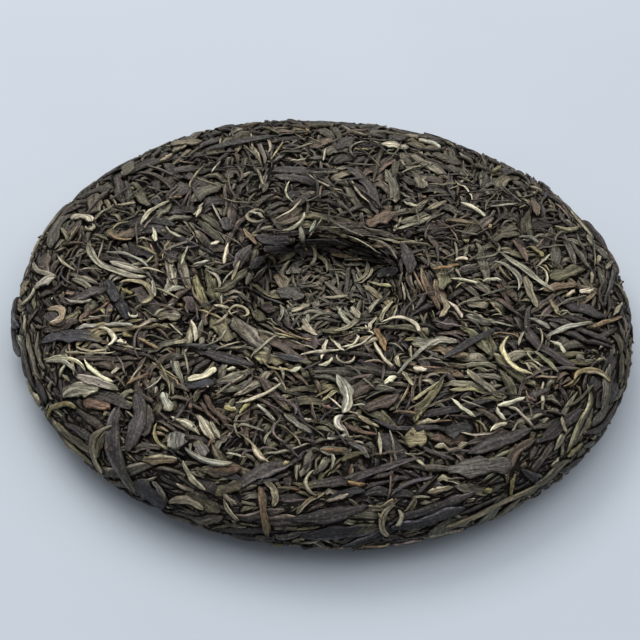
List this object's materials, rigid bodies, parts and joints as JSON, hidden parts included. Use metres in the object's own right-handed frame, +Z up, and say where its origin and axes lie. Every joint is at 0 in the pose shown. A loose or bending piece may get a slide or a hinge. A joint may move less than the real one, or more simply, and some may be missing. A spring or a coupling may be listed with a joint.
{
  "type": "pu erh tea cake",
  "caption": "Round pressed cake of raw pu erh tea leaves with a rolled side, a gently domed resting face and the knot's hollow in its upper face.",
  "frame": {"origin": "under the middle of the cake, on the surface that it rests on", "axes": "+Z up, out of the face with the hollow; -Y towards the hollow's gentle side; X across"},
  "size_m": [0.198, 0.2004, 0.0261],
  "materials": {
    "tea_leaves": "dry rolled leaves, charcoal to olive grey with pale buds, faint dull sheen"
  },
  "bodies": {
    "root": {"tea_cake": "tea_leaves"}
  },
  "joints": []
}
